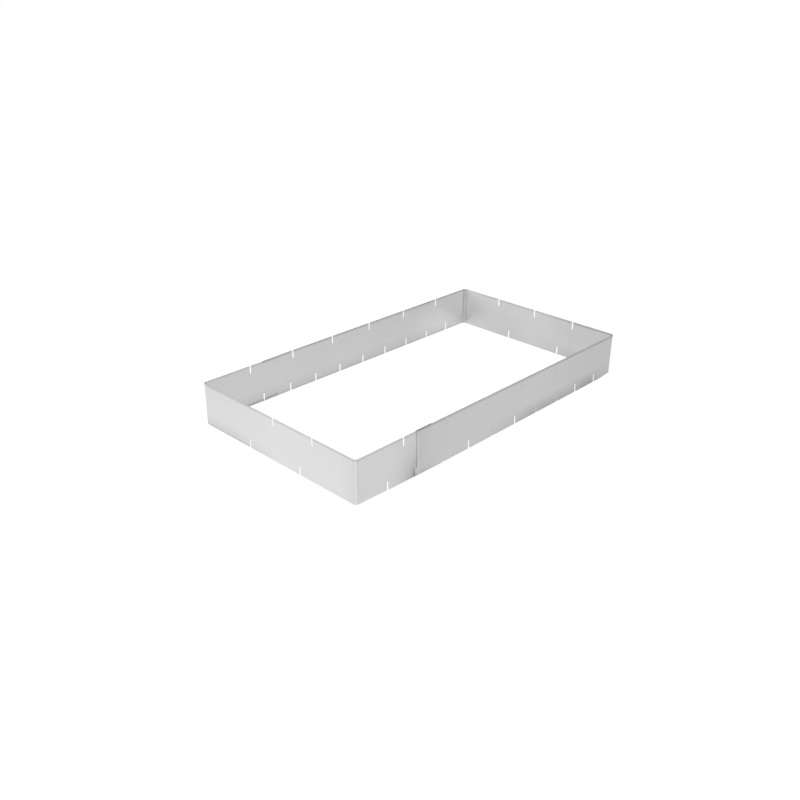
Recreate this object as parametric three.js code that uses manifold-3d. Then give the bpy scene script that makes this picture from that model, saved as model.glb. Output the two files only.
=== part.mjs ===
// An adjustable cake frame: two U-shaped halves bent from stainless strip.
// The legs of the inner half slide inside the legs of the outer half, so the frame grows longer.
// Slits in the rims mark out equal portions and guide the knife, with one set of portions
// on the upper rim and another on the lower one.
// Millimetres, +Z up, +X along the frame. The origin is the middle of the closed frame's base.

import * as THREE from 'three';
import { mergeVertices } from 'three/addons/utils/BufferGeometryUtils.js';
import Module from 'manifold-3d';

const wasm = await Module();
wasm.setup();

// The frame when it is pushed together
const FRAME_LENGTH = 438;
const FRAME_WIDTH = 240;
const FRAME_HEIGHT = 50;

// The strip and how the two halves run in each other
const SHEET = 0.4;
const SLIDE_GAP = 0.3;
const BEND_RADIUS = 3.6;
const CLOSING_GAP = 0.5;
const OUTER_LEG_SETBACK = 82;
const FREE_CORNER_RADIUS = 2;

// The guides: strips of the outer half folded round both edges of the inner one
const GUIDE_LENGTH = 22;
const GUIDE_FLAP = 2.5;
const GUIDE_RELIEF = 0.6;
const TONGUE_REACH = 3;
const TONGUE_HEIGHT = 10;
const TONGUE_CORNER_RADIUS = 1.5;

// The slits, and the equal portions that they mark along each wall
const SLIT_WIDTH = 1.8;
const SLIT_DEPTH = 10;
const LONG_WALL_PORTIONS = { upper: 7, lower: 11 };
const SHORT_WALL_PORTIONS = { upper: 4, lower: 3 };

// How far a cut runs past what it cuts, and how finely an arc is divided
const OVERRUN = 1;
const BEND_SEGMENTS = 5;
const SLIT_SEGMENTS = 3;

// Sizes that follow from the ones above
const EDGE_STEP = SHEET + SLIDE_GAP;
const INSIDE_LENGTH = FRAME_LENGTH - 2 * SHEET;
const INNER_WIDTH = FRAME_WIDTH - 2 * EDGE_STEP;
const INNER_TOP = FRAME_HEIGHT - EDGE_STEP;
const INSIDE_WIDTH = INNER_WIDTH - 2 * SHEET;
const INNER_LEG = FRAME_LENGTH - SHEET - BEND_RADIUS - CLOSING_GAP;
const OUTER_LEG = FRAME_LENGTH - OUTER_LEG_SETBACK;
const FOLD_RADIUS = EDGE_STEP;
const GUIDE_DEPTH = 2 * EDGE_STEP + SHEET;

// A closed solid from a three.js geometry
function toSolid(geometry) {
  const bare = geometry.clone();
  bare.deleteAttribute('normal');
  bare.deleteAttribute('uv');
  const merged = mergeVertices(bare);
  return new wasm.Manifold(new wasm.Mesh({
    numProp: 3,
    vertProperties: new Float32Array(merged.attributes.position.array),
    triVerts: new Uint32Array(merged.index.array),
  }));
}

// The three.js geometry of a finished solid
function toGeometry(solid) {
  const mesh = solid.getMesh();
  const geometry = new THREE.BufferGeometry();
  geometry.setAttribute('position', new THREE.BufferAttribute(mesh.vertProperties, 3));
  geometry.setIndex(new THREE.BufferAttribute(mesh.triVerts, 1));
  geometry.computeVertexNormals();
  return geometry;
}

// A flat outline drawn in X and Z, drawn out along Y from one place to another
function drawnAlongY(shape, from, to, segments) {
  const geometry = new THREE.ExtrudeGeometry(shape, {
    depth: to - from, bevelEnabled: false, curveSegments: segments,
  });
  return geometry.rotateX(Math.PI / 2).translate(0, to, 0);
}

// A flat outline drawn in Y and Z, drawn out along X from one place to another
function drawnAlongX(shape, from, to, segments) {
  const geometry = new THREE.ExtrudeGeometry(shape, {
    depth: to - from, bevelEnabled: false, curveSegments: segments,
  });
  return geometry.rotateX(Math.PI / 2).rotateZ(Math.PI / 2).translate(from, 0, 0);
}

// The bent strip: a short wall at x = 0 and two legs towards +X, standing from bottom to top
function bentStrip(leg, width, bottom, top) {
  const outside = BEND_RADIUS + SHEET;
  const side = width / 2;
  const centre = side - outside;
  const plan = new THREE.Shape();
  plan.moveTo(leg, -side);
  plan.lineTo(leg, -side + SHEET);
  plan.lineTo(outside, -side + SHEET);
  plan.absarc(outside, -centre, BEND_RADIUS, -Math.PI / 2, -Math.PI, true);
  plan.lineTo(SHEET, centre);
  plan.absarc(outside, centre, BEND_RADIUS, Math.PI, Math.PI / 2, true);
  plan.lineTo(leg, side - SHEET);
  plan.lineTo(leg, side);
  plan.lineTo(outside, side);
  plan.absarc(outside, centre, outside, Math.PI / 2, Math.PI, false);
  plan.lineTo(0, -centre);
  plan.absarc(outside, -centre, outside, Math.PI, 1.5 * Math.PI, false);
  plan.closePath();
  const geometry = new THREE.ExtrudeGeometry(plan, {
    depth: top - bottom, bevelEnabled: false, curveSegments: BEND_SEGMENTS,
  });
  return toSolid(geometry.translate(0, 0, bottom));
}

// The outline of one slit: it enters at the rim and ends round. upward is 1 from the lower rim
function slitOutline(along, upward) {
  const radius = SLIT_WIDTH / 2;
  const rim = upward > 0 ? 0 : FRAME_HEIGHT;
  const mouth = rim - upward * OVERRUN;
  const end = rim + upward * (SLIT_DEPTH - radius);
  const outline = new THREE.Shape();
  outline.moveTo(along - radius, mouth);
  outline.lineTo(along - radius, end);
  outline.absarc(along, end, radius, Math.PI, 0, upward > 0);
  outline.lineTo(along + radius, mouth);
  outline.closePath();
  return outline;
}

// Where the slits of one rim stand, between two ends
function portionMarks(from, length, portions) {
  const marks = [];
  for (let portion = 1; portion < portions; portion += 1) {
    marks.push(from + length * portion / portions);
  }
  return marks;
}

// Every slit of one half, whose legs are free to be cut up to a limit
function slits(legLimit) {
  const cuts = [];
  for (const [rim, upward] of [['lower', 1], ['upper', -1]]) {
    for (const x of portionMarks(SHEET, INSIDE_LENGTH, LONG_WALL_PORTIONS[rim])) {
      if (x + SLIT_WIDTH < legLimit) {
        const reach = FRAME_WIDTH / 2 + OVERRUN;
        cuts.push(drawnAlongY(slitOutline(x, upward), -reach, reach, SLIT_SEGMENTS));
      }
    }
    for (const y of portionMarks(-INSIDE_WIDTH / 2, INSIDE_WIDTH, SHORT_WALL_PORTIONS[rim])) {
      cuts.push(drawnAlongX(slitOutline(y, upward), -OVERRUN, SHEET + OVERRUN, SLIT_SEGMENTS));
    }
  }
  return cuts.map(toSolid);
}

// What rounds off a free corner of both legs: the corner's square less a quarter disc
function cornerCut(x, z, upward, radius) {
  const outline = new THREE.Shape();
  outline.moveTo(x - radius, z);
  outline.absarc(x - radius, z - upward * radius, radius, upward * Math.PI / 2, 0, upward > 0);
  outline.lineTo(x + OVERRUN, z - upward * radius);
  outline.lineTo(x + OVERRUN, z + upward * OVERRUN);
  outline.lineTo(x - radius, z + upward * OVERRUN);
  outline.closePath();
  const reach = FRAME_WIDTH / 2 + OVERRUN;
  return toSolid(drawnAlongY(outline, -reach, reach, SLIT_SEGMENTS));
}

// The section of a guide at the lower rim of one leg, in Y and Z.
// It runs down the leg's face, turns under the inner strip and up again behind it
function guideSection(side) {
  const face = -side * FRAME_WIDTH / 2;
  const across = (depth) => face + side * depth;
  const angle = (turn) => (side > 0 ? turn : Math.PI - turn);
  const back = GUIDE_DEPTH - FOLD_RADIUS;
  const inside = FOLD_RADIUS - SHEET;
  const section = new THREE.Shape();
  const fold = (depth, radius, from, to, returning) => section.absarc(
    across(depth), FOLD_RADIUS, radius, angle(from), angle(to), returning !== (side < 0),
  );
  section.moveTo(across(0), TONGUE_HEIGHT);
  section.lineTo(across(0), FOLD_RADIUS);
  fold(FOLD_RADIUS, FOLD_RADIUS, Math.PI, 1.5 * Math.PI, false);
  fold(back, FOLD_RADIUS, -Math.PI / 2, 0, false);
  section.lineTo(across(GUIDE_DEPTH), GUIDE_FLAP);
  section.lineTo(across(GUIDE_DEPTH - SHEET), GUIDE_FLAP);
  fold(back, inside, 0, -Math.PI / 2, true);
  fold(FOLD_RADIUS, inside, 1.5 * Math.PI, Math.PI, true);
  section.lineTo(across(SHEET), TONGUE_HEIGHT);
  section.closePath();
  return section;
}

// The square edge of the strip, which a guide's fold takes the place of
function edgeStrip(from, to) {
  const reach = FRAME_WIDTH / 2 + OVERRUN;
  const strip = new THREE.BoxGeometry(to - from, 2 * reach, FOLD_RADIUS + OVERRUN);
  return strip.translate((from + to) / 2, 0, (FOLD_RADIUS - OVERRUN) / 2);
}

// Turns what is made at the lower rim over to the upper one
function toUpperRim(solid) {
  return solid.mirror([0, 0, 1]).translate([0, 0, FRAME_HEIGHT]);
}

// The strip with its guides. The lower pair is set further out, as a tongue past the free edge.
// A relief notch parts each fold from the edge that stays flat, so that the steel doesn't tear
function addGuides(strip) {
  let half = strip;
  for (const [reach, place] of [[TONGUE_REACH, (solid) => solid], [0, toUpperRim]]) {
    const start = OUTER_LEG - GUIDE_LENGTH + reach;
    const end = OUTER_LEG + reach;
    half = half.subtract(place(toSolid(edgeStrip(start - GUIDE_RELIEF, end + OVERRUN))));
    for (const side of [1, -1]) {
      half = half.add(place(toSolid(drawnAlongX(guideSection(side), start, end, SLIT_SEGMENTS))));
    }
  }
  return half;
}

// One half: its strip, guides if it carries them, free corners and slits
function frameHalf({ leg, width, bottom, top, guided }) {
  let half = bentStrip(leg, width, bottom, top);
  if (guided) {
    half = addGuides(half);
    half = half.subtract(cornerCut(leg + TONGUE_REACH, TONGUE_HEIGHT, 1, TONGUE_CORNER_RADIUS));
  } else {
    half = half.subtract(cornerCut(leg, top, 1, FREE_CORNER_RADIUS));
    half = half.subtract(cornerCut(leg, bottom, -1, FREE_CORNER_RADIUS));
  }
  for (const slit of slits(guided ? leg - GUIDE_LENGTH - GUIDE_RELIEF : leg)) {
    half = half.subtract(slit);
  }
  return toGeometry(half);
}

// Satin stainless steel, a little lighter where the near half catches the light
const outerSteel = new THREE.MeshStandardMaterial({
  color: 0xbfbfbf, metalness: 0.9, roughness: 0.38, flatShading: true,
});
const innerSteel = new THREE.MeshStandardMaterial({
  color: 0xcfcfcf, metalness: 0.9, roughness: 0.38, flatShading: true,
});

const outerHalf = new THREE.Mesh(frameHalf({
  leg: OUTER_LEG, width: FRAME_WIDTH, bottom: 0, top: FRAME_HEIGHT, guided: true,
}), outerSteel);
outerHalf.name = 'outer_half';
outerHalf.position.x = FRAME_LENGTH / 2;
outerHalf.rotation.z = Math.PI;

const innerHalf = new THREE.Mesh(frameHalf({
  leg: INNER_LEG, width: INNER_WIDTH, bottom: EDGE_STEP, top: INNER_TOP, guided: false,
}), innerSteel);
innerHalf.name = 'inner_half';
innerHalf.position.x = -FRAME_LENGTH / 2;

const cakeFrame = new THREE.Group();
cakeFrame.add(outerHalf, innerHalf);

export default cakeFrame;
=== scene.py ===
# %% [markdown]
# # An adjustable cake frame in brushed stainless steel
# The frame is bent from thin strip in two halves. Each half is a U: one short wall and two legs.
# The legs of the inner half slide inside the legs of the outer half, so the frame grows longer.
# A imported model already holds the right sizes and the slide. This lesson makes the surfaces
# that a camera sees: the bends, the folded guides, the slits with their sheared edges, and the steel.

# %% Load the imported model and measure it
from math import cos, pi, radians, sin

import bmesh
import bpy
from mathutils import Matrix, Vector


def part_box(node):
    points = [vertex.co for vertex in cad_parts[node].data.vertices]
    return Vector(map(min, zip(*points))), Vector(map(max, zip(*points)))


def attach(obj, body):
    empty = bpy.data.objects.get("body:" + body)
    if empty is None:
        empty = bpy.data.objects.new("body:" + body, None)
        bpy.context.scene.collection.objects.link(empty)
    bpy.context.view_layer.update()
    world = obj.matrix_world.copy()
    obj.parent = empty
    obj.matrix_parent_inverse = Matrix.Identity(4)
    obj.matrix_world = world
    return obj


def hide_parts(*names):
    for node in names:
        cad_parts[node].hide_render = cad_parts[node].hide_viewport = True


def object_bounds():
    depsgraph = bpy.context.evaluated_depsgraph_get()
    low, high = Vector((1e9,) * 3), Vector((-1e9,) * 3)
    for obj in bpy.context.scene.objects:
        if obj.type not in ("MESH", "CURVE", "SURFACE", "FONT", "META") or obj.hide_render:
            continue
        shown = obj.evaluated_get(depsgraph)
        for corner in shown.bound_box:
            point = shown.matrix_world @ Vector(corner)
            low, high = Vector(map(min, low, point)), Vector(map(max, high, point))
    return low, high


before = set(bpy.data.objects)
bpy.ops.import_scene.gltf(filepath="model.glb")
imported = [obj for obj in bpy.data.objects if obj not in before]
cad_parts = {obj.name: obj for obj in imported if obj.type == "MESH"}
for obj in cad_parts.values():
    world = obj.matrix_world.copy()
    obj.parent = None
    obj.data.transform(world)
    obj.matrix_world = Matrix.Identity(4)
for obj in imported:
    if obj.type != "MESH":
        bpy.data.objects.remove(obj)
cad_low, cad_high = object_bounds()
MM = 0.001

outer_low, outer_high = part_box("outer_half")
inner_low, inner_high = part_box("inner_half")
print("outer half", outer_low[:], outer_high[:])
print("inner half", inner_low[:], inner_high[:])

# %% [markdown]
# ## The sizes of the strip
# The model gives the outlines. What it doesn't name is repeated here once: the gauge of the sheet,
# how the halves run in each other, the bend, the guides and the slits. The inner half is bent a
# touch wide, so that its legs press lightly on the outer ones, and it fills the folds of the guides.
# The spring says how much of the clearance that the model leaves is taken up by that, and the folds
# are pressed as much flatter.

# %% Name the sizes that the strip is made with
SHEET = 0.4 * MM
SLIDE_GAP = 0.3 * MM
SPRING = Vector((0, 0.25, 0.25)) * MM
BEND_OUTSIDE = 4 * MM
FREE_CORNER_RADIUS = 2 * MM
FOLD_RADIUS = SHEET + SLIDE_GAP
FOLD_FLAT = SHEET - SPRING.y
GUIDE_LENGTH = 22 * MM
GUIDE_FLAP = 2.5 * MM
GUIDE_RELIEF = 0.6 * MM
TONGUE_REACH = 3 * MM
TONGUE_HEIGHT = 10 * MM
TONGUE_CORNER_RADIUS = 1.5 * MM
SLIT_WIDTH = 1.8 * MM
SLIT_DEPTH = 10 * MM
RIM_ROUNDING = 0.06 * MM

height = outer_high.z - outer_low.z
leg_free_end = outer_low.x + TONGUE_REACH
print("height", height, "free end of the outer legs", leg_free_end)

# %% [markdown]
# ## Small helpers
# An operator acts on what is selected, so each step first selects by place. In edit mode the mesh
# is read through bmesh, and every vertex, edge or face whose corners all pass a test is selected.


# %% Helpers that select and finish
CLOSE = 0.01 * MM


def take(piece):
    """Makes one object the only selected one, and the active one."""
    bpy.ops.object.select_all(action="DESELECT")
    piece.select_set(True)
    bpy.context.view_layer.objects.active = piece


def start_edit(piece):
    take(piece)
    bpy.ops.object.mode_set(mode="EDIT")
    bpy.ops.mesh.select_all(action="DESELECT")


def end_edit():
    bpy.ops.object.mode_set(mode="OBJECT")


def pick(kind, test):
    """Selects the vertices, edges or faces whose corner points all pass a test."""
    mode = {"verts": "VERT", "edges": "EDGE", "faces": "FACE"}[kind]
    bpy.ops.mesh.select_mode(type=mode)
    bpy.ops.mesh.select_all(action="DESELECT")
    mesh = bpy.context.object.data
    form = bmesh.from_edit_mesh(mesh)
    for element in getattr(form, kind):
        points = [element.co] if kind == "verts" else [v.co for v in element.verts]
        if all(test(point) for point in points):
            element.select_set(True)
    bmesh.update_edit_mesh(mesh)


def keep_edges(shared):
    """Of the selected edges, keeps those whose two ends share one coordinate, such as "y"."""
    mesh = bpy.context.object.data
    form = bmesh.from_edit_mesh(mesh)
    for edge in form.edges:
        first, second = (getattr(vertex.co, shared) for vertex in edge.verts)
        edge.select_set(edge.select and near(first, second))
    bmesh.update_edit_mesh(mesh)


def near(a, b):
    return abs(a - b) < CLOSE


def between(a, low, high):
    return low - CLOSE < a < high + CLOSE


def apply_modifier(piece, kind, **settings):
    """Adds one modifier, sets it and applies it."""
    take(piece)
    modifier = piece.modifiers.new(kind.title(), kind)
    for name, value in settings.items():
        setattr(modifier, name, value)
    bpy.ops.object.modifier_apply(modifier=modifier.name)


# %% [markdown]
# ## Bending a strip into a U
# The real halves are bent from flat strip, and the model is made the same way. A plane stands where
# the outside of the short wall is. Its two upright edges are extruded into the legs, and the corners
# between them are bevelled, which turns each into the round of a press brake.


# %% Bend a strip
BEND_SEGMENTS = 12


def bent_strip(name, wall_x, free_x, low, high):
    """One U seen as a skin without thickness: the outside of the short wall and of both legs."""
    tall, wide = high.z - low.z, high.y - low.y
    bpy.ops.mesh.primitive_plane_add(
        size=1, location=(wall_x, 0, (low.z + high.z) / 2), rotation=(0, pi / 2, 0),
    )
    strip = bpy.context.object
    strip.name = name
    strip.scale = (tall, wide, 1)
    bpy.ops.object.transform_apply(location=True, rotation=True, scale=True)
    start_edit(strip)
    pick("edges", lambda p: near(abs(p.y), wide / 2))
    keep_edges("y")
    bpy.ops.mesh.extrude_edges_move(TRANSFORM_OT_translate={"value": (free_x - wall_x, 0, 0)})
    pick("edges", lambda p: near(p.x, wall_x) and near(abs(p.y), wide / 2))
    keep_edges("y")
    bpy.ops.mesh.bevel(offset=BEND_OUTSIDE, segments=BEND_SEGMENTS, affect="EDGES")
    bpy.ops.mesh.select_all(action="SELECT")
    bpy.ops.mesh.normals_make_consistent(inside=False)
    form = bmesh.from_edit_mesh(strip.data)
    outward = 1 if wall_x > 0 else -1
    wall = max(form.faces, key=lambda face: outward * face.calc_center_median().x)
    wall_looks_out = wall.normal.x * outward > 0
    if not wall_looks_out:
        bpy.ops.mesh.flip_normals()
    end_edit()
    print(name, "bent:", len(strip.data.polygons), "faces")
    return strip


outer_sheet = bent_strip("outer_half_sheet", outer_high.x, leg_free_end, outer_low, outer_high)
inner_sheet = bent_strip(
    "inner_half_sheet", inner_low.x, inner_high.x, inner_low - SPRING, inner_high + SPRING,
)

# %% [markdown]
# ## Where the slits stand
# Each wall is divided into equal portions, with one set of portions on the upper rim and another on
# the lower one. The halves are punched one by one, so the two patterns don't quite meet. On the near
# legs most slits of the outer half stand a little further on than those of the inner half, and only
# at four marks do the two fall in line and let the light through. On the far legs they all do. One
# slit there cuts the tip of the lower guide, which hangs on by a narrow bridge above it.

# %% Work out the marks
LONG_WALL_PORTIONS = {"upper": 7, "lower": 11}
SHORT_WALL_PORTIONS = {"upper": 4, "lower": 3}
OUTER_NEAR_OFFSET = 2 * MM
INNER_FIRST_OFFSET = 1.2 * MM
INNER_LAG = 0.4 * MM
INNER_FAR_OFFSET = 0.6 * MM
OUTER_FAR_OFFSET = {"upper": 0.7 * MM, "lower": 1 * MM}
INNER_SHORT_OFFSET = 0.8 * MM
IN_LINE_ON_NEAR_LEG = {("lower", 4): 2 * MM, ("lower", 6): 2 * MM, ("lower", 9): 0, ("lower", 10): 0}
MARK_AT_FAR_GUIDE = ("lower", 2)
TIP_BRIDGE = 0.5 * MM


def marks(portions, length):
    """The places between the portions, along a wall that is centred on zero."""
    return [(part, (part / portions - 0.5) * length) for part in range(1, portions)]


inside_length = cad_high.x - cad_low.x - 2 * SHEET
inside_width = inner_high.y - inner_low.y - 2 * SHEET
long_marks = {rim: marks(n, inside_length) for rim, n in LONG_WALL_PORTIONS.items()}
short_marks = {rim: marks(n, inside_width) for rim, n in SHORT_WALL_PORTIONS.items()}
print({rim: [round(x / MM, 1) for _, x in row] for rim, row in long_marks.items()})

# %% [markdown]
# ## Columns of faces
# A flat wall needs few faces, but this one is going to be bowed a little, and the slits are cut
# cleanly only where no edge of the mesh runs close beside them. So the skin is cut by bisect planes
# that keep away from every slit.

# %% Cut the skins into columns and rows
COLUMN_PITCH = 8 * MM
SLIT_MARGIN = 3.6 * MM
ROW_MARGIN = 3 * MM
ROW_HEIGHT = SLIT_DEPTH + ROW_MARGIN


def column_places(reach, rows):
    """Evenly spaced places from -reach to reach that keep off the slits of both rims."""
    crowded = [place for row in rows.values() for _, place in row]
    count = int(2 * reach / COLUMN_PITCH)
    places = [-reach + 2 * reach * step / count for step in range(1, count)]
    return [p for p in places if all(abs(p - mark) > SLIT_MARGIN for mark in crowded)]


def bisect(axis, place, test=lambda p: True):
    """Cuts the faces that pass a test by the plane where one coordinate has a given value."""
    pick("faces", test)
    normal = [float(axis == name) for name in "xyz"]
    bpy.ops.mesh.bisect(plane_co=[place * part for part in normal], plane_no=normal)


def cut_columns(sheet):
    """Cuts a skin into columns between the slits, and into rows between the slits of both rims."""
    start_edit(sheet)
    for x in column_places(inside_length / 2 - BEND_OUTSIDE, long_marks):
        bisect("x", x)
    for y in column_places(inside_width / 2 - BEND_OUTSIDE, short_marks):
        bisect("y", y)
    for z in (ROW_HEIGHT, height / 2, height - ROW_HEIGHT):
        bisect("z", z)
    end_edit()
    print(sheet.name, "cut:", len(sheet.data.polygons), "faces")


cut_columns(outer_sheet)
cut_columns(inner_sheet)

# %% [markdown]
# ## Folding the guides
# At the free ends of the outer legs the strip is folded round both rims of the inner leg, and that
# is all that holds the halves together. A fold is a spin about a line along the rim, a short step
# across the edge of the inner sheet, a second spin and a flap that stands up behind it. Next to the
# fold a real strip has a relief notch, because steel that is bent beside steel that stays flat tears.
# The lower guide is set out past the leg's end as a tongue, which leads the inner leg in.


# %% Fold a guide
FOLD_STEPS = 6
TONGUE_CORNER_SEGMENTS = 6
FREE_CORNER_SEGMENTS = 8


def fold_guide(rim, side, start, end):
    """One guide from x = start to x = end. rim is 1 at the lower edge, -1 at the upper one."""
    base = 0 if rim > 0 else height
    face = side * outer_high.y
    turning = radians(90) * side * rim
    line = base + rim * FOLD_RADIUS

    def on_leg(p):
        return near(p.y, face) and between(p.x, start, end + GUIDE_RELIEF)

    bisect("z", line, on_leg)
    pick("faces", lambda p: on_leg(p) and between(rim * (p.z - base), 0, FOLD_RADIUS))
    bpy.ops.mesh.delete(type="FACE")
    pick("edges", lambda p: near(p.y, face) and near(p.z, line) and between(p.x, start, end))
    across = face - side * FOLD_RADIUS
    bpy.ops.mesh.spin(steps=FOLD_STEPS, angle=turning, center=(0, across, line), axis=(1, 0, 0))
    bpy.ops.mesh.extrude_edges_move(TRANSFORM_OT_translate={"value": (0, -side * FOLD_FLAT, 0)})
    across -= side * FOLD_FLAT
    bpy.ops.mesh.spin(steps=FOLD_STEPS, angle=turning, center=(0, across, line), axis=(1, 0, 0))
    rise = (0, 0, rim * (GUIDE_FLAP - FOLD_RADIUS))
    bpy.ops.mesh.extrude_edges_move(TRANSFORM_OT_translate={"value": rise})


def pull_tongue(side):
    """The free edge of one leg, drawn out at its foot and rounded at its upper corner."""
    face = side * outer_high.y
    tip = outer_low.x
    bisect("z", TONGUE_HEIGHT, lambda p: near(p.y, face) and p.x < leg_free_end + GUIDE_LENGTH)
    bisect("z", FOLD_RADIUS, lambda p: near(p.y, face) and p.x < leg_free_end + GUIDE_LENGTH)
    pick(
        "edges",
        lambda p: near(p.x, leg_free_end) and near(p.y, face)
        and between(p.z, FOLD_RADIUS, TONGUE_HEIGHT),
    )
    bpy.ops.mesh.extrude_edges_move(TRANSFORM_OT_translate={"value": (-TONGUE_REACH, 0, 0)})
    pick("verts", lambda p: near(p.x, tip) and near(p.y, face) and near(p.z, TONGUE_HEIGHT))
    bpy.ops.mesh.bevel(
        offset=TONGUE_CORNER_RADIUS, segments=TONGUE_CORNER_SEGMENTS, affect="VERTICES",
    )


# %% Give the outer half its guides and the inner half its rounded ends
start_edit(outer_sheet)
lower_end = outer_low.x + GUIDE_LENGTH
upper_end = leg_free_end + GUIDE_LENGTH
for x in (lower_end, lower_end + GUIDE_RELIEF, upper_end, upper_end + GUIDE_RELIEF):
    bisect("x", x)
for side in (1, -1):
    pull_tongue(side)
    fold_guide(1, side, outer_low.x, lower_end)
    fold_guide(-1, side, leg_free_end, upper_end)
end_edit()

start_edit(inner_sheet)
rims = (inner_low.z - SPRING.z, inner_high.z + SPRING.z)
pick("verts", lambda p: near(p.x, inner_high.x) and (near(p.z, rims[0]) or near(p.z, rims[1])))
bpy.ops.mesh.bevel(offset=FREE_CORNER_RADIUS, segments=FREE_CORNER_SEGMENTS, affect="VERTICES")
end_edit()
print("outer skin reaches", [round(c / MM, 2) for c in outer_sheet.bound_box[0]])

# %% [markdown]
# ## From skin to sheet
# Solidify grows the gauge of the steel inwards from the skin. Its rim faces are what the shears left,
# so they take a finish of their own: slot 0 is the brushed face and slot 1 the sheared edge.


# %% Thicken both skins
def add_slots(piece, *materials):
    """Gives a piece its material slots in order."""
    for material in materials:
        piece.data.materials.append(material)


brushed_outer = bpy.data.materials.new("brushed_steel_outer")
brushed_inner = bpy.data.materials.new("brushed_steel_inner")
sheared = bpy.data.materials.new("sheared_edge")
# The walls of the slits; their brighter colour is painted light.
punched = bpy.data.materials.new("punched_edge_painted_light")
add_slots(outer_sheet, brushed_outer, sheared)
add_slots(inner_sheet, brushed_inner, sheared)
for sheet in (outer_sheet, inner_sheet):
    apply_modifier(
        sheet, "SOLIDIFY", thickness=SHEET, offset=-1, use_even_offset=True,
        material_offset_rim=1,
    )
    print(sheet.name, "thickened:", len(sheet.data.polygons), "faces")

# %% [markdown]
# ## Punching the slits
# One punch is made: a block as wide as the slit, with its two inner edges bevelled until the end is
# round. It is copied to every mark, turned over for the upper rim and turned sideways for the short
# walls. The copies are joined, and one Boolean takes them all out of a sheet.

# %% Make the punch
PUNCH_REACH = 6 * MM
OVERRUN = 1 * MM
WELD = 0.005 * MM
SLIT_END_SEGMENTS = 10


def make_punch():
    """The punch for a slit that enters from below at x = y = z = 0, through a wall along X."""
    tall = SLIT_DEPTH + OVERRUN
    bpy.ops.mesh.primitive_cube_add(size=1, location=(0, 0, tall / 2 - OVERRUN))
    punch = bpy.context.object
    punch.name = "punch"
    punch.scale = (SLIT_WIDTH, PUNCH_REACH, tall)
    bpy.ops.object.transform_apply(location=True, rotation=True, scale=True)
    start_edit(punch)
    pick("edges", lambda p: near(p.z, SLIT_DEPTH))
    keep_edges("x")
    bpy.ops.mesh.bevel(offset=SLIT_WIDTH / 2, segments=SLIT_END_SEGMENTS, affect="EDGES")
    bpy.ops.mesh.select_all(action="SELECT")
    bpy.ops.mesh.remove_doubles(threshold=WELD)
    end_edit()
    add_slots(punch, punched)
    return punch


def copy_punch(punch, place, rim, across):
    """A copy of the punch at a mark. rim is 1 at the lower edge and -1 at the upper one."""
    base = 0 if rim > 0 else height
    copy = punch.copy()
    copy.data = punch.data.copy()
    bpy.context.collection.objects.link(copy)
    turned = Matrix.Rotation(0 if rim > 0 else pi, 4, "Y")
    if across:
        turned = Matrix.Rotation(pi / 2, 4, "Z") @ turned
    copy.matrix_world = Matrix.Translation((place[0], place[1], base)) @ turned
    return copy


# %% [markdown]
# ## Punching both halves
# A slit of the near leg stands at its mark or a little beside it, and the far legs and the short
# walls have a small offset each, because every rim was punched in a stroke of its own. The slit in
# the tip of the far guide is cut less deep on the outer half, so that the tip isn't cut off.

# %% Punch both sheets
RIMS = {"lower": 1, "upper": -1}


def offset_on_near_leg(sheet, rim, number):
    """How far a slit of the near leg stands from its mark."""
    shared = IN_LINE_ON_NEAR_LEG.get((rim, number))
    if sheet is outer_sheet:
        return OUTER_NEAR_OFFSET if shared is None else shared
    if number == 1:
        return INNER_FIRST_OFFSET
    return 0 if shared is None else shared + INNER_LAG


def punch_slits(sheet, wall_x, legs_low, legs_high):
    """Cuts the slits of one half: on its short wall, on its legs and in the tip of the far guide."""
    punch = make_punch()
    copies = []
    short_offset = 0 if sheet is outer_sheet else INNER_SHORT_OFFSET
    for name, rim in RIMS.items():
        far_offset = OUTER_FAR_OFFSET[name] if sheet is outer_sheet else INNER_FAR_OFFSET
        for number, x in long_marks[name]:
            on_legs = legs_low < x < legs_high
            at_far_guide = (name, number) == MARK_AT_FAR_GUIDE
            if on_legs:
                near_x = x + offset_on_near_leg(sheet, name, number)
                copies.append(copy_punch(punch, (near_x, outer_low.y), rim, False))
            if on_legs or at_far_guide:
                copies.append(copy_punch(punch, (x + far_offset, outer_high.y), rim, False))
            if at_far_guide and sheet is outer_sheet:
                copies[-1].location.z -= TIP_BRIDGE
        for _, y in short_marks[name]:
            copies.append(copy_punch(punch, (wall_x, y + short_offset), rim, True))
    take(copies[0])
    for copy in copies:
        copy.select_set(True)
    bpy.ops.object.join()
    punches = bpy.context.object
    bpy.ops.object.transform_apply(location=True, rotation=True, scale=True)
    apply_modifier(
        sheet, "BOOLEAN", object=punches, operation="DIFFERENCE", solver="EXACT",
        material_mode="TRANSFER",
    )
    bpy.data.objects.remove(punches)
    bpy.data.objects.remove(punch)
    print(sheet.name, "punched:", len(copies), "slits,", len(sheet.data.polygons), "faces")


punch_slits(outer_sheet, outer_high.x, upper_end, outer_high.x)
punch_slits(inner_sheet, inner_low.x, inner_low.x, inner_high.x)

# %% [markdown]
# ## Breaking the sharp edges
# A sheared edge is never a mathematical corner. A bevel of a few hundredths of a millimetre gives
# the rims and the slits the thin line of light that tells the eye that this is thin steel.

# %% Round every rim a little
ROUNDING_SEGMENTS = 2
ROUNDED_FROM_ANGLE = radians(40)

for sheet in (outer_sheet, inner_sheet):
    apply_modifier(
        sheet, "BEVEL", width=RIM_ROUNDING, segments=ROUNDING_SEGMENTS, limit_method="ANGLE",
        angle_limit=ROUNDED_FROM_ANGLE, use_clamp_overlap=True,
    )
    print(sheet.name, "rounded:", len(sheet.data.polygons), "faces")

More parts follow.
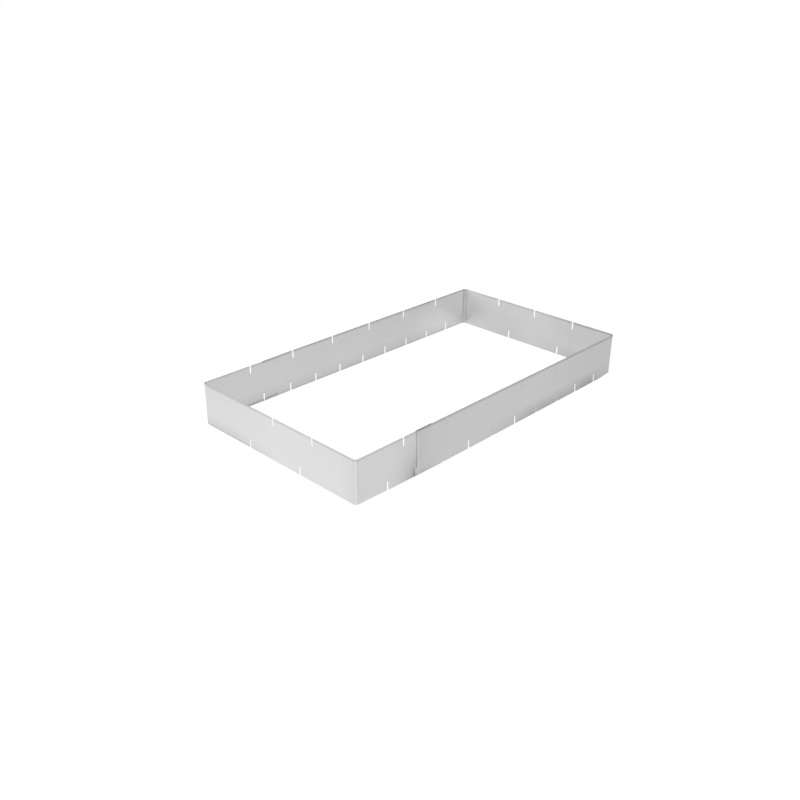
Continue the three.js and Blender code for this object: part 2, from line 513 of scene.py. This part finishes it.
# %% [markdown]
# ## A little spring in the long wall
# Strip as thin as this never stands quite straight. On this frame the foot of the near long wall
# bows outwards between its corners. Both sheets lie in each other, so one lattice bends them
# together. The bow stays the same from the guide almost to the end of the inner leg, so that the
# inner leg still lies in the guide wherever it has slid to.

# %% Bow the foot of the near long wall
BOW = 2.1 * MM
BOW_RISES = (-214 * MM, -150 * MM)
BOW_FALLS = (194 * MM, 215 * MM)
LATTICE_COLUMNS = 60


def smooth_step(value, low, high):
    share = min(max((value - low) / (high - low), 0), 1)
    return share * share * (3 - 2 * share)


def bow_at(x):
    """How far the foot of the near wall stands out at a place along the frame."""
    return BOW * smooth_step(x, *BOW_RISES) * (1 - smooth_step(x, *BOW_FALLS))


size = cad_high - cad_low
bpy.ops.object.add(type="LATTICE", location=(cad_low + cad_high) / 2)
lattice = bpy.context.object
lattice.scale = size
cage = lattice.data
cage.points_u, cage.points_v, cage.points_w = LATTICE_COLUMNS, 2, 2
cage.interpolation_type_u = "KEY_BSPLINE"
cage.interpolation_type_v = cage.interpolation_type_w = "KEY_LINEAR"
for point in cage.points:
    along, across, up = point.co
    if across < 0 and up < 0:
        point.co_deform.y -= bow_at(along * size.x) / size.y
for sheet in (outer_sheet, inner_sheet):
    apply_modifier(sheet, "LATTICE", object=lattice)
bpy.data.objects.remove(lattice)

# %% Smooth the bends and keep the flats flat
SHARP_FROM_ANGLE = radians(50)
FACE_AREA_WEIGHT = 50

for sheet in (outer_sheet, inner_sheet):
    take(sheet)
    bpy.ops.object.shade_smooth_by_angle(angle=SHARP_FROM_ANGLE)
    apply_modifier(sheet, "WEIGHTED_NORMAL", keep_sharp=True, weight=FACE_AREA_WEIGHT)

# %% [markdown]
# ## Shader maths as plain expressions
# A material is a small sum: a base value, plus grain, plus scratches. Wrapping a socket in a class
# lets Python's own operators add the Math nodes, so the sum can be read as one.


# %% A wire that does maths
class Wire:
    """One output socket. Operators on it add Math nodes to its material."""

    def __init__(self, tree, socket):
        self.tree = tree
        self.socket = socket

    def node(self, kind, settings=None, sockets=None, output=0):
        """Adds a node of a kind with its settings, fills its sockets and gives back one output."""
        made = self.tree.nodes.new(kind)
        for name, value in (settings or {}).items():
            setattr(made, name, value)
        for name, value in (sockets or {}).items():
            if isinstance(value, Wire):
                self.tree.links.new(value.socket, made.inputs[name])
            else:
                made.inputs[name].default_value = value
        return Wire(self.tree, made.outputs[output] if len(made.outputs) else None)

    def maths(self, operation, *values):
        return self.node("ShaderNodeMath", {"operation": operation}, dict(enumerate(values)))

    def __add__(self, other):
        return self.maths("ADD", self, other)

    def __sub__(self, other):
        return self.maths("SUBTRACT", self, other)

    def __rsub__(self, other):
        return self.maths("SUBTRACT", other, self)

    def __mul__(self, other):
        return self.maths("MULTIPLY", self, other)

    def __neg__(self):
        return self.maths("SUBTRACT", 0, self)

    __radd__ = __add__
    __rmul__ = __mul__

    def root(self):
        return self.maths("SQRT", self)

    def size(self):
        return self.maths("ABSOLUTE", self)

    def ramp(self, low, high):
        """0 below low, 1 above high and an even slope between them."""
        sockets = {0: self, 1: low, 2: high, 3: 0.0, 4: 1.0}
        return self.node("ShaderNodeMapRange", {"clamp": True}, sockets)


def new_tree(owner):
    """Empties the nodes of a material or world and gives a wire to build on."""
    owner.use_nodes = True
    owner.node_tree.nodes.clear()
    return Wire(owner.node_tree, None)


# %% [markdown]
# ## Brushed steel
# The strip is brushed along its length before it is bent, so the grain runs along every wall. On
# Object coordinates that is one noise that changes slowly in X and Y and fast in Z. Grain moves the
# roughness and a very fine bump far more than it moves the colour. On top come the broad streaks of
# the rolling mill, soft smudges, and the hair scratches of sheets that have slid in each other.
# Grain this fine also spreads a reflection across itself. The shader's own anisotropy does that: a
# quarter turn makes it spread up and down, so a wall shows floor, neighbours and ceiling in one haze.
# Noise lies round a half, so a half is taken off wherever it has to swing about zero.

# %% Draw noise out along the strip
GRAIN_WAVES = (30, 4200)
STREAK_WAVES = (9, 420)
SCRATCH_WAVES = (16, 1900)
SCRATCH_EDGE = (0.70, 0.74)
SMUDGES_PER_METRE = 17.0


def stretched_noise(start, place, waves, detail, seed):
    """Noise that is drawn out along the strip. waves are those per metre along it and up it."""
    along, upright = waves
    scaled = start.node(
        "ShaderNodeMapping", {"vector_type": "POINT"},
        {"Vector": place, "Location": (seed, seed, seed), "Scale": (along, along, upright)},
    )
    return start.node("ShaderNodeTexNoise", None, {"Vector": scaled, "Scale": 1.0, "Detail": detail})


def grey(start, value):
    """A colour whose three channels follow one value."""
    return start.node("ShaderNodeCombineColor", None, {0: value, 1: value, 2: value})


# %% Mix the brushed steel
GRAIN_TONE, STREAK_TONE, SMUDGE_TONE, SCRATCH_TONE = 0.05, 0.06, 0.03, 0.05
SATIN_ROUGHNESS = 0.42
GRAIN_ROUGHNESS, SMUDGE_ROUGHNESS, SCRATCH_ROUGHNESS = 0.12, 0.08, 0.06
STREAK_RELIEF, SCRATCH_RELIEF = 0.6, 0.5
GRAIN_BUMP = {"Strength": 0.2, "Distance": 0.01 * MM}
SPREAD_ACROSS_GRAIN = 0.8
QUARTER_TURN = 0.25


def brushed_steel(material, base, seed, painted_light_and_shade):
    """Satin strip. base is its plain reflectance, and the last argument says how much painted shade
    takes off the colour at a place, less the painted light that it adds.
    """
    start = new_tree(material)
    place = start.node("ShaderNodeTexCoord", output=3)
    grain = stretched_noise(start, place, GRAIN_WAVES, detail=2.0, seed=seed)
    streaks = stretched_noise(start, place, STREAK_WAVES, detail=3.0, seed=seed + 1)
    smudges = start.node(
        "ShaderNodeTexNoise", None, {"Vector": place, "Scale": SMUDGES_PER_METRE, "Detail": 2.0},
    )
    scratches = stretched_noise(start, place, SCRATCH_WAVES, detail=1.0, seed=seed + 2)
    scratches = scratches.ramp(*SCRATCH_EDGE)
    grain_swing, streak_swing, smudge_swing = grain - 0.5, streaks - 0.5, smudges - 0.5
    brushed = 1 + GRAIN_TONE * grain_swing + STREAK_TONE * streak_swing + SMUDGE_TONE * smudge_swing
    # The colour loses the painted shade and gains the painted light drawn for each place.
    tone = base * brushed * (1 - SCRATCH_TONE * scratches) * (1 - painted_light_and_shade(start, place))
    roughness = SATIN_ROUGHNESS + GRAIN_ROUGHNESS * grain_swing + SMUDGE_ROUGHNESS * smudge_swing
    roughness = roughness - SCRATCH_ROUGHNESS * scratches
    relief = grain + STREAK_RELIEF * streaks - SCRATCH_RELIEF * scratches
    bump = start.node("ShaderNodeBump", None, {**GRAIN_BUMP, "Height": relief})
    shader = start.node(
        "ShaderNodeBsdfPrincipled", None,
        {
            "Base Color": grey(start, tone), "Metallic": 1.0, "Roughness": roughness,
            "Anisotropic": SPREAD_ACROSS_GRAIN, "Anisotropic Rotation": QUARTER_TURN, "Normal": bump,
        },
    )
    start.node("ShaderNodeOutputMaterial", None, {"Surface": shader})


# %% [markdown]
# ## Painted light and shade
# The colour of the steel isn't the same all over, because light and shade are painted into it. The
# rims and the bends are darkened as painted shade. Where the outer leg ends, its edge has a painted
# highlight, and the inner leg beside it is darkened as painted shade, most at the foot. The feet of the
# long walls are darkened as painted shade too, and the inside of the far corner is lightened as
# painted light. Each mark is a share taken off the colour, or added to it, drawn with ramps on the
# place along, across and up.


# %% Read the place on a sheet
def axes(start, place):
    """Wires for x, y and z."""
    parts = start.node("ShaderNodeSeparateXYZ", None, {0: place})
    return [Wire(start.tree, parts.socket.node.outputs[axis]) for axis in range(3)]


def foot(z, top):
    """1 on the floor and 0 at a height."""
    return 1 - z.ramp(0.0, top)


def hump(value, start, rise_end, fall_start, end):
    """0 outside two places and 1 between two inner ones."""
    return value.ramp(start, rise_end) * (1 - value.ramp(fall_start, end))


def leg_at(y):
    """1 on the leg where y is large and 0 on the other, with a slope on the short wall between."""
    return y.ramp(0.0, outer_high.y / 2)


# %% Draw the painted shade on the rims and bends of both halves
# Painted shade along the upper rims fades out over this band.
RIM_SHADE_BAND = 3.6 * MM
INNER_FACE_SHARES = (0.7, 0.3)
# Painted shade on the bends: inside each bend, more in its middle, and a little on the outside of the
# turn.
BEND_INSIDE_PAINTED_SHADE = 0.14
BEND_MIDDLE_PAINTED_SHADE = 0.3
BEND_OUTSIDE_PAINTED_SHADE = 0.085
BEND_START = (0.0, 0.3 * MM)
BEND_MIDDLE = (1.2 * MM, 2.4 * MM)
TURN_FROM_X = (0.7 * MM, 1.6 * MM)
TURN_FROM_Y = (2.8 * MM, 3.7 * MM)


def rim_shade(z):
    """Where the painted shade of the rims lies: 1 on the upper rim, fading out over a narrow band below
    it.
    """
    return z.ramp(height - RIM_SHADE_BAND, height - RIM_SHADE_BAND / 4)


def inner_face(reach, outside):
    """1 on a sheet's inner face and 0 on its outer one. reach grows to outside on the outer one."""
    start_share, end_share = INNER_FACE_SHARES
    return 1 - reach.ramp(outside - start_share * SHEET, outside - end_share * SHEET)


def bend_painted_shade(x, y, outside_x, half_width):
    """Painted shade on the two bends beside a short wall at outside_x, inside and out."""
    side = 1 if outside_x > 0 else -1
    far_x = abs(outside_x)
    from_x = BEND_OUTSIDE * (side * x).ramp(far_x - BEND_OUTSIDE, far_x)
    from_y = BEND_OUTSIDE * y.size().ramp(half_width - BEND_OUTSIDE, half_width)
    inside = inner_face((from_x * from_x + from_y * from_y).root(), BEND_OUTSIDE)
    in_bend = from_x.ramp(*BEND_START) * from_y.ramp(*BEND_START)
    middle = from_x.ramp(*BEND_MIDDLE) * from_y.ramp(*BEND_MIDDLE)
    on_turn = from_x.ramp(*TURN_FROM_X) * from_y.ramp(*TURN_FROM_Y)
    shade_within = inside * in_bend * (BEND_INSIDE_PAINTED_SHADE + BEND_MIDDLE_PAINTED_SHADE * middle)
    return shade_within + (1 - inside) * BEND_OUTSIDE_PAINTED_SHADE * on_turn


# %% [markdown]
# ## Painted light in the far corner
# The inside of the far corner is lightened as painted light, so light is gained there instead of
# lost. The gain rises twice, once on the way to the corner and once more close to it, which looks
# softer than one steep ramp. Low on the near half of the outer short wall a little more is added.

# %% Draw the painted light in the far corner
# Painted light in the far corner, and low on the outer half's short wall.
CORNER_PAINTED_LIGHT = 0.12
CORNER_REACH_X = (110 * MM, 165 * MM)
CORNER_REACH_Y = (45 * MM, 85 * MM)
DEEP_CORNER_PAINTED_LIGHT = 0.06
DEEP_REACH_X = (130 * MM, 200 * MM)
DEEP_REACH_Y = (86 * MM, 114 * MM)
LOW_LIGHT_HEIGHT = 30 * MM
LOW_LIGHT_REACH = (-30 * MM, 60 * MM)
LOW_WALL_PAINTED_LIGHT = 0.05
FOOT_SHARE = 0.35


def short_wall_painted_light(x, y, z):
    """Painted light on the inside of the outer half's short wall, by the far corner and low on its near
    half.
    """
    on_wall = inner_face(x, outer_high.x) * x.ramp(outer_high.x - 2 * BEND_OUTSIDE, outer_high.x - SHEET)
    by_corner = CORNER_PAINTED_LIGHT * y.ramp(*CORNER_REACH_Y) + DEEP_CORNER_PAINTED_LIGHT * y.ramp(*DEEP_REACH_Y)
    by_floor = LOW_WALL_PAINTED_LIGHT * foot(z, LOW_LIGHT_HEIGHT) * (-y).ramp(*LOW_LIGHT_REACH)
    return on_wall * (by_corner + by_floor)


def far_leg_painted_light(x, z):
    """Painted light on the far leg of the inner half, less of it towards the floor."""
    by_corner = CORNER_PAINTED_LIGHT * x.ramp(*CORNER_REACH_X) + DEEP_CORNER_PAINTED_LIGHT * x.ramp(*DEEP_REACH_X)
    return by_corner * (FOOT_SHARE + (1 - FOOT_SHARE) * z.ramp(0.0, LOW_LIGHT_HEIGHT))


# %% [markdown]
# ## Painted light and shade on the outer half's near leg
# The near leg grows darker towards the outer half's short wall. Beside the seam the leg's end has a
# painted highlight, with a band of painted shade behind it, the guide gets painted shade at its foot,
# and the foot of the leg gets painted shade most. Each place along the leg is a ramp or a hump, and
# a ramp on the height keeps it at the foot.

# %% Draw the painted light and shade of the outer half
# Painted shade along the outer half's upper rim, twice as much on its near leg.
OUTER_RIM_PAINTED_SHADE = 0.14
# Painted shade in a band beside the seam, and a painted highlight on the edge of the leg's end.
SEAM_PAINTED_SHADE = 0.06
SEAM_BAND = 30 * MM
EDGE_PAINTED_HIGHLIGHT = 0.1
EDGE_HIGHLIGHT_PLACES = (0.9 * MM, 1.3 * MM, 2.5 * MM, 3.1 * MM)
# Painted shade at the foot of the guide.
GUIDE_PAINTED_SHADE = 0.09
GUIDE_FOOT = 8 * MM
GUIDE_FADE = 4 * MM
FOOT_SHADE_HEIGHT = 16 * MM
# Painted shade along the foot of the long walls, more in two places on the near leg.
FOOT_PAINTED_SHADE = 0.12
FOOT_SHADE_FROM = (-60 * MM, 20 * MM)
MIDDLE_FOOT_PAINTED_SHADE = 0.16
MIDDLE_FOOT_SHADE = (15 * MM, 45 * MM, 112 * MM, 148 * MM)
CORNER_FOOT_PAINTED_SHADE = 0.24
CORNER_FOOT_SHADE = (125 * MM, 155 * MM, 170 * MM, 192 * MM)
# Darker towards the outer half's short wall.
TOWARDS_SHORT_WALL_LOSS = 0.1
TOWARDS_SHORT_WALL_FROM = (60 * MM, 215 * MM)


def near_outer_leg_painted_light_and_shade(x, z):
    """The painted shade beside the seam and its painted highlight, the painted shade at the guide and
    along the foot, and the darkening towards the short wall.
    """
    # Painted shade beside the seam, a painted highlight on the leg's end, and painted shade at the guide
    # and the foot.
    beside_seam = SEAM_PAINTED_SHADE * (1 - x.ramp(leg_free_end, leg_free_end + SEAM_BAND))
    edge_highlight = EDGE_PAINTED_HIGHLIGHT * hump(x - leg_free_end, *EDGE_HIGHLIGHT_PLACES)
    on_guide = GUIDE_PAINTED_SHADE * foot(z, GUIDE_FOOT) * (1 - x.ramp(lower_end, lower_end + GUIDE_FADE))
    painted_shade = FOOT_PAINTED_SHADE * x.ramp(*FOOT_SHADE_FROM) + MIDDLE_FOOT_PAINTED_SHADE * hump(x, *MIDDLE_FOOT_SHADE)
    painted_shade = painted_shade + CORNER_FOOT_PAINTED_SHADE * hump(x, *CORNER_FOOT_SHADE)
    towards_short_wall = TOWARDS_SHORT_WALL_LOSS * x.ramp(*TOWARDS_SHORT_WALL_FROM)
    return beside_seam - edge_highlight + on_guide + towards_short_wall + painted_shade * foot(z, FOOT_SHADE_HEIGHT)


def outer_painted_light_and_shade(start, place):
    """The share of the outer half's colour that painted shade takes off at a place, less the painted
    light in the far corner.
    """
    x, y, z = axes(start, place)
    near_leg = leg_at(-y)
    # The rim term is painted shade along the upper rim.
    rim = rim_shade(z) * (OUTER_RIM_PAINTED_SHADE + OUTER_RIM_PAINTED_SHADE * near_leg)
    # The bends term is painted shade on the bends.
    bends = bend_painted_shade(x, y, outer_high.x, outer_high.y)
    return rim + bends + near_leg * near_outer_leg_painted_light_and_shade(x, z) - short_wall_painted_light(x, y, z)


# %% [markdown]
# ## Painted shade on the inner half
# Beside the end of the outer leg the inner leg is darkened as painted shade, most close to the end,
# growing towards the foot, and a narrow painted shadow lies beside the tongue. The far leg gets
# painted shade at its foot and just before the flap of the far guide, and the short wall gets painted
# shade towards its top and towards its back corner, and is darker close to the near corner.

# %% Draw the painted shade on the inner half's near leg
# Painted shade on the inner leg beside the outer leg's end, growing towards the end and the foot.
SEAM_SHADE_LENGTH = 36 * MM
SEAM_SHADE_END = 20 * MM
BY_SEAM_PAINTED_SHADE = 0.46
BEFORE_SEAM_PAINTED_SHADE = 0.055
BEFORE_SEAM_SHADE_FROM = (-178 * MM, -152 * MM)
# A painted shadow in a narrow strip beside the tongue.
TONGUE_PAINTED_SHADOW = 0.12
TONGUE_SHADOW_PLACES = (-145 * MM, -142 * MM, -140 * MM, -139 * MM)
TONGUE_SHADOW_FADE = 1 * MM


def near_inner_leg_painted_shade(x, z):
    """Painted shade beside the outer leg's end, most at the foot, and a painted shadow beside its
    tongue.
    """
    # Painted shade beside the outer leg's end, and a painted shadow beside the tongue.
    towards = x.ramp(leg_free_end - SEAM_SHADE_LENGTH, leg_free_end)
    past = 1 - x.ramp(leg_free_end, leg_free_end + SEAM_SHADE_END)
    low = foot(z, height)
    seam_shade = past * (BEFORE_SEAM_PAINTED_SHADE * x.ramp(*BEFORE_SEAM_SHADE_FROM) + BY_SEAM_PAINTED_SHADE * towards * towards * low * low)
    below_tongue_top = 1 - z.ramp(TONGUE_HEIGHT, TONGUE_HEIGHT + TONGUE_SHADOW_FADE)
    return seam_shade + TONGUE_PAINTED_SHADOW * hump(x, *TONGUE_SHADOW_PLACES) * below_tongue_top


# %% Draw the painted shade on the inner half's far leg and short wall
# Painted shade along the inner half's upper rim.
INNER_RIM_PAINTED_SHADE = 0.18
# Painted shade over the far leg, more at its foot and along its lower edge.
FAR_LEG_PAINTED_SHADE = 0.03
FAR_FOOT_PAINTED_SHADE = 0.12
FAR_EDGE_PAINTED_SHADE = 0.14
FAR_EDGE_HEIGHT = 4 * MM
# Painted shade at the foot just before the far guide's flap.
BESIDE_FLAP_PAINTED_SHADE = 0.3
BESIDE_FLAP_PLACES = (-175 * MM, -158 * MM, -144 * MM, -140 * MM)
BESIDE_FLAP_HEIGHT = 5 * MM
# Painted shade on the inner half's short wall, darker towards its top and its back corner.
SHORT_WALL_PAINTED_SHADE = 0.035
SHORT_WALL_SHADE_REACH_Y = (60 * MM, 118 * MM)
SHORT_WALL_SHADE_FROM_HEIGHT = 10 * MM
# Darker close to the near corner.
NEAR_CORNER_LOSS = 0.04
NEAR_CORNER_PLACES = (98 * MM, 112 * MM, 114 * MM, 117 * MM)
SHORT_WALL_FROM = (215 * MM, 217 * MM)


def far_inner_leg_painted_shade(x, z):
    """Painted shade on the whole leg, more at its foot, and at the foot just before the far guide's
    flap.
    """
    # Painted shade over the leg and at its foot.
    painted_shade = FAR_LEG_PAINTED_SHADE + FAR_FOOT_PAINTED_SHADE * foot(z, FOOT_SHADE_HEIGHT)
    painted_shade = painted_shade + FAR_EDGE_PAINTED_SHADE * foot(z, FAR_EDGE_HEIGHT)
    return painted_shade + BESIDE_FLAP_PAINTED_SHADE * hump(x, *BESIDE_FLAP_PLACES) * foot(z, BESIDE_FLAP_HEIGHT)


def short_wall_painted_shade(x, y, z):
    """Painted shade, darker towards the top and more of it towards the back corner, and darker close to
    the near corner.
    """
    # Painted shade towards the top of the short wall, and darker by the near corner.
    short_wall_shade = SHORT_WALL_PAINTED_SHADE * (1 + y.ramp(*SHORT_WALL_SHADE_REACH_Y)) * z.ramp(SHORT_WALL_SHADE_FROM_HEIGHT, height)
    short_wall_shade = short_wall_shade + NEAR_CORNER_LOSS * hump(-y, *NEAR_CORNER_PLACES)
    return (-x).ramp(*SHORT_WALL_FROM) * short_wall_shade


def inner_painted_light_and_shade(start, place):
    """The share of the inner half's colour that painted shade takes off at a place, less the painted
    light on the far leg.
    """
    x, y, z = axes(start, place)
    # The rim term is painted shade along the upper rim.
    rim = INNER_RIM_PAINTED_SHADE * rim_shade(z)
    # The bends term is painted shade on the bends.
    bends = bend_painted_shade(x, y, inner_low.x, inner_high.y + SPRING.y)
    near_leg = leg_at(-y) * near_inner_leg_painted_shade(x, z)
    far_leg = leg_at(y) * (far_inner_leg_painted_shade(x, z) - far_leg_painted_light(x, z))
    return rim + bends + short_wall_painted_shade(x, y, z) + near_leg + far_leg


# %% Finish the faces of both halves
OUTER_TONE = 0.62
INNER_TONE = 0.72
# Each half's steel takes the painted light and shade drawn above.
brushed_steel(brushed_outer, OUTER_TONE, seed=3.0, painted_light_and_shade=outer_painted_light_and_shade)
brushed_steel(brushed_inner, INNER_TONE, seed=11.0, painted_light_and_shade=inner_painted_light_and_shade)
for material in (brushed_outer, brushed_inner):
    print(material.name, "mixed from", len(material.node_tree.nodes), "nodes")

# %% [markdown]
# ## The sheared edge
# Shears leave a rim in two bands, one smooth and one torn, at a scale that only shows close by. It is
# rougher and darker than the brushed face, with short marks that run across the edge. A punch shears
# too, and the walls of a slit are given a brighter colour as painted light, which lifts the shade
# inside the slits.

# %% Mix the sheared edge
SHEARED_TONE = 0.66
# The slit walls are brighter as painted light, which lifts the shade inside the slits.
PUNCHED_TONE_WITH_PAINTED_LIGHT = 0.87
MARKS_PER_METRE = 1400.0
MARK_TONE = 0.2
EDGE_ROUGHNESS = 0.5
MARK_ROUGHNESS = 0.2
MARK_BUMP = {"Strength": 0.3, "Distance": 0.02 * MM}


def sheared_edge(material, edge_tone):
    """The rim that a shear or a punch leaves. edge_tone is its plain reflectance."""
    start = new_tree(material)
    place = start.node("ShaderNodeTexCoord", output=3)
    marks_across = start.node(
        "ShaderNodeTexNoise", None, {"Vector": place, "Scale": MARKS_PER_METRE, "Detail": 3.0},
    )
    swing = marks_across - 0.5
    tone = edge_tone * (1 + MARK_TONE * swing)
    bump = start.node("ShaderNodeBump", None, {**MARK_BUMP, "Height": marks_across})
    shader = start.node(
        "ShaderNodeBsdfPrincipled", None,
        {
            "Base Color": grey(start, tone), "Metallic": 1.0, "Normal": bump,
            "Roughness": EDGE_ROUGHNESS + MARK_ROUGHNESS * swing,
        },
    )
    start.node("ShaderNodeOutputMaterial", None, {"Surface": shader})


sheared_edge(sheared, SHEARED_TONE)
sheared_edge(punched, PUNCHED_TONE_WITH_PAINTED_LIGHT)

# %% [markdown]
# ## Handing the pieces to the model
# Each sheet stands for one node of the imported model and rides on that node's body, so the inner
# half still slides when the joint moves.

# %% Hide each imported node and hang its sheet on that node's body
for sheet, node, body, slot in (
    (outer_sheet, "outer_half", "outer", "outer_steel"),
    (inner_sheet, "inner_half", "inner", "inner_steel"),
):
    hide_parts(node)
    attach(sheet, body)

# %% [markdown]
# ## A plain white studio
# The floor is matt white paper. A camera, metal or glass sees it at almost full white, and the small
# matt share keeps a soft contact shadow under the frame. The room is white near the horizon and a
# quieter grey overhead, so the rims, which mirror the ceiling, draw a thin dark line.

# %% Lay the floor
FLOOR_SIZE = 60
FLOOR_GLOW = 0.95
FLOOR_MATT = 0.15
FLOOR_UNSEEN = 0.8

bpy.ops.mesh.primitive_plane_add(size=FLOOR_SIZE, location=(0, 0, cad_low.z))
floor = bpy.context.object
floor.name = "paper_floor"
paper = bpy.data.materials.new("white_paper")
start = new_tree(paper)
path = start.node("ShaderNodeLightPath").socket.node.outputs
sees_white = Wire(start.tree, path["Is Camera Ray"]) + Wire(start.tree, path["Is Glossy Ray"])
sees_white = sees_white + Wire(start.tree, path["Is Transmission Ray"])
glow = start.node("ShaderNodeEmission", None, {"Strength": FLOOR_GLOW})
matt = start.node("ShaderNodeBsdfDiffuse", None, {"Color": (FLOOR_MATT, FLOOR_MATT, FLOOR_MATT, 1)})
plain = start.node(
    "ShaderNodeBsdfDiffuse", None, {"Color": (FLOOR_UNSEEN, FLOOR_UNSEEN, FLOOR_UNSEEN, 1)},
)
white = start.node("ShaderNodeAddShader", None, {0: glow, 1: matt})
mixed = start.node("ShaderNodeMixShader", None, {0: sees_white, 1: plain, 2: white})
start.node("ShaderNodeOutputMaterial", None, {"Surface": mixed})
floor.data.materials.append(paper)

# %% Light the room
HORIZON = 0.9
OVERHEAD = 0.3
ROOM_FADE = (0.12, 0.5)

room = bpy.data.worlds.new("studio")
bpy.context.scene.world = room
start = new_tree(room)
towards = start.node("ShaderNodeTexCoord", output=0)
rise = start.node("ShaderNodeSeparateXYZ", None, {0: towards}, output=2)
level = HORIZON - (HORIZON - OVERHEAD) * rise.ramp(*ROOM_FADE)
sky = start.node("ShaderNodeBackground", None, {"Color": grey(start, level), "Strength": 1.0})
start.node("ShaderNodeOutputWorld", None, {"Surface": sky})


def soft_box(name, place, size, watts):
    """A square area lamp at a place, turned towards the middle of the frame."""
    bpy.ops.object.light_add(type="AREA", location=place)
    lamp = bpy.context.object
    lamp.name = name
    lamp.data.size = size
    lamp.data.energy = watts
    lamp.rotation_euler = (-Vector(place)).to_track_quat("-Z", "Y").to_euler()
    lamp.visible_camera = False
    print(name, watts, "W")


soft_box("soft_box_left", place=(-1.3, 1.1, 0.75), size=1.2, watts=6.3)
soft_box("soft_box_above", place=(0.3, -0.4, 1.8), size=1.0, watts=6)
soft_box("soft_box_behind_camera", place=(-1.6, -1.52, 0.9), size=2.2, watts=16)

# %% [markdown]
# ## The camera
# The view was found by laying the frame's twelve edges over the photograph: a bearing round the
# frame, a height above the floor, a slight roll, the distance, and the lens that goes with it.

# %% Place the camera
PICTURE_WIDTH = 800
FOCAL_PIXELS = 912.165
SENSOR_WIDTH = 36
CAMERA_RISE = 0.455250
CAMERA_BEARING = -0.808648
CAMERA_ROLL = 0.010930
CAMERA_TARGET = Vector((-25.281, 9.559, 0)) * MM
CAMERA_DISTANCE = 1065.599 * MM

back = Vector((
    sin(CAMERA_BEARING) * cos(CAMERA_RISE), -cos(CAMERA_BEARING) * cos(CAMERA_RISE), sin(CAMERA_RISE),
))
level_right = Vector((cos(CAMERA_BEARING), sin(CAMERA_BEARING), 0))
level_up = back.cross(level_right)
right = cos(CAMERA_ROLL) * level_right + sin(CAMERA_ROLL) * level_up
up = cos(CAMERA_ROLL) * level_up - sin(CAMERA_ROLL) * level_right
bpy.ops.object.camera_add()
camera = bpy.context.object
camera.data.sensor_width = SENSOR_WIDTH
camera.data.lens = FOCAL_PIXELS * SENSOR_WIDTH / PICTURE_WIDTH
camera.matrix_world = Matrix.Translation(CAMERA_TARGET + CAMERA_DISTANCE * back) @ Matrix((
    right, up, back,
)).transposed().to_4x4()
bpy.context.scene.camera = camera
bpy.context.scene.view_settings.view_transform = "Standard"
print("camera at", [round(c / MM, 1) for c in camera.location], "lens", round(camera.data.lens, 2))
